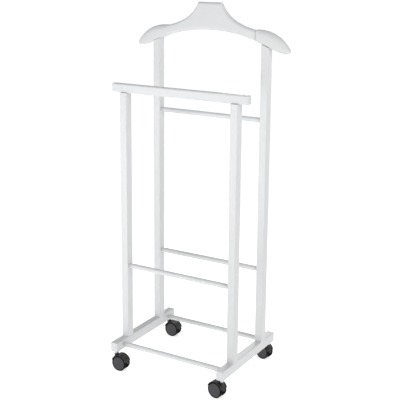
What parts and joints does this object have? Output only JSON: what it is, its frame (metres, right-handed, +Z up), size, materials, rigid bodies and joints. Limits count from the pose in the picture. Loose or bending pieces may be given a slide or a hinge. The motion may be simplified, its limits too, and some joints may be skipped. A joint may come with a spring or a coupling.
{
  "type": "valet stand",
  "caption": "Free-standing wooden valet stand with a contoured coat hanger, a trouser bar, turned cross rods and swivelling twin-wheel casters.",
  "frame": {"origin": "On the floor under the middle of the stand, centred between the four posts.", "axes": "+X to the right across the hanger, +Y to the back (the hanger's side), +Z up."},
  "size_m": [0.512, 0.3353, 1.1],
  "materials": {
    "white_lacquered_wood": "white satin lacquer",
    "beech": "bare beech",
    "zinc_steel": "bright zinc plate",
    "natural_nylon": "moulded, undyed nylon",
    "hood_plastic": "moulded, fine texture",
    "wheel_plastic": "moulded nylon tread",
    "cap_plastic": "moulded, satin"
  },
  "bodies": {
    "frame": {"hanger_board": "white_lacquered_wood", "left_shoulder": "white_lacquered_wood", "right_shoulder": "white_lacquered_wood", "left_back_post": "white_lacquered_wood", "right_back_post": "white_lacquered_wood", "left_front_post": "white_lacquered_wood", "right_front_post": "white_lacquered_wood", "left_foot_rail": "white_lacquered_wood", "right_foot_rail": "white_lacquered_wood", "trouser_bar": "white_lacquered_wood", "upper_back_rod": "white_lacquered_wood", "middle_back_rod": "white_lacquered_wood", "middle_front_rod": "white_lacquered_wood", "lower_back_rod": "white_lacquered_wood", "lower_front_rod": "white_lacquered_wood", "hanger_dowels": "beech", "shoulder_dowels": "beech", "bar_dowels": "beech", "rail_dowels": "beech", "frame_screws": "zinc_steel", "caster_stems": "zinc_steel", "caster_sockets": "natural_nylon"},
    "front_left_caster": {"front_left_caster_hood": "hood_plastic", "front_left_caster_axle": "zinc_steel"},
    "front_left_fore_wheel": {"front_left_caster_fore_wheel": "wheel_plastic", "front_left_caster_fore_cap": "cap_plastic"},
    "front_left_aft_wheel": {"front_left_caster_aft_wheel": "wheel_plastic", "front_left_caster_aft_cap": "cap_plastic"},
    "front_right_caster": {"front_right_caster_hood": "hood_plastic", "front_right_caster_axle": "zinc_steel"},
    "front_right_fore_wheel": {"front_right_caster_fore_wheel": "wheel_plastic", "front_right_caster_fore_cap": "cap_plastic"},
    "front_right_aft_wheel": {"front_right_caster_aft_wheel": "wheel_plastic", "front_right_caster_aft_cap": "cap_plastic"},
    "back_left_caster": {"back_left_caster_hood": "hood_plastic", "back_left_caster_axle": "zinc_steel"},
    "back_left_fore_wheel": {"back_left_caster_fore_wheel": "wheel_plastic", "back_left_caster_fore_cap": "cap_plastic"},
    "back_left_aft_wheel": {"back_left_caster_aft_wheel": "wheel_plastic", "back_left_caster_aft_cap": "cap_plastic"},
    "back_right_caster": {"back_right_caster_hood": "hood_plastic", "back_right_caster_axle": "zinc_steel"},
    "back_right_fore_wheel": {"back_right_caster_fore_wheel": "wheel_plastic", "back_right_caster_fore_cap": "cap_plastic"},
    "back_right_aft_wheel": {"back_right_caster_aft_wheel": "wheel_plastic", "back_right_caster_aft_cap": "cap_plastic"}
  },
  "joints": [
    {"name": "front_left_swivel", "type": "hinge", "parent": "frame", "child": "front_left_caster", "pos_m": [-0.183, -0.149, 0.05], "axis": [0, 0, 1], "continuous": true},
    {"name": "front_left_fore_wheel_spin", "type": "hinge", "parent": "front_left_caster", "child": "front_left_fore_wheel", "pos_m": [-0.167, -0.149, 0.0235], "axis": [0, 1, 0], "continuous": true},
    {"name": "front_left_aft_wheel_spin", "type": "hinge", "parent": "front_left_caster", "child": "front_left_aft_wheel", "pos_m": [-0.167, -0.149, 0.0235], "axis": [0, 1, 0], "continuous": true},
    {"name": "front_right_swivel", "type": "hinge", "parent": "frame", "child": "front_right_caster", "pos_m": [0.183, -0.149, 0.05], "axis": [0, 0, 1], "continuous": true},
    {"name": "front_right_fore_wheel_spin", "type": "hinge", "parent": "front_right_caster", "child": "front_right_fore_wheel", "pos_m": [0.16716, -0.14677, 0.0235], "axis": [0.1392, 0.9903, 0], "continuous": true},
    {"name": "front_right_aft_wheel_spin", "type": "hinge", "parent": "front_right_caster", "child": "front_right_aft_wheel", "pos_m": [0.16716, -0.14677, 0.0235], "axis": [0.1392, 0.9903, 0], "continuous": true},
    {"name": "back_left_swivel", "type": "hinge", "parent": "frame", "child": "back_left_caster", "pos_m": [-0.183, 0.149, 0.05], "axis": [0, 0, 1], "continuous": true},
    {"name": "back_left_fore_wheel_spin", "type": "hinge", "parent": "back_left_caster", "child": "back_left_fore_wheel", "pos_m": [-0.167, 0.149, 0.0235], "axis": [0, 1, 0], "continuous": true},
    {"name": "back_left_aft_wheel_spin", "type": "hinge", "parent": "back_left_caster", "child": "back_left_aft_wheel", "pos_m": [-0.167, 0.149, 0.0235], "axis": [0, 1, 0], "continuous": true},
    {"name": "back_right_swivel", "type": "hinge", "parent": "frame", "child": "back_right_caster", "pos_m": [0.183, 0.149, 0.05], "axis": [0, 0, 1], "continuous": true},
    {"name": "back_right_fore_wheel_spin", "type": "hinge", "parent": "back_right_caster", "child": "back_right_fore_wheel", "pos_m": [0.16735, 0.15233, 0.0235], "axis": [0.2079, 0.9781, 0], "continuous": true},
    {"name": "back_right_aft_wheel_spin", "type": "hinge", "parent": "back_right_caster", "child": "back_right_aft_wheel", "pos_m": [0.16735, 0.15233, 0.0235], "axis": [0.2079, 0.9781, 0], "continuous": true}
  ]
}
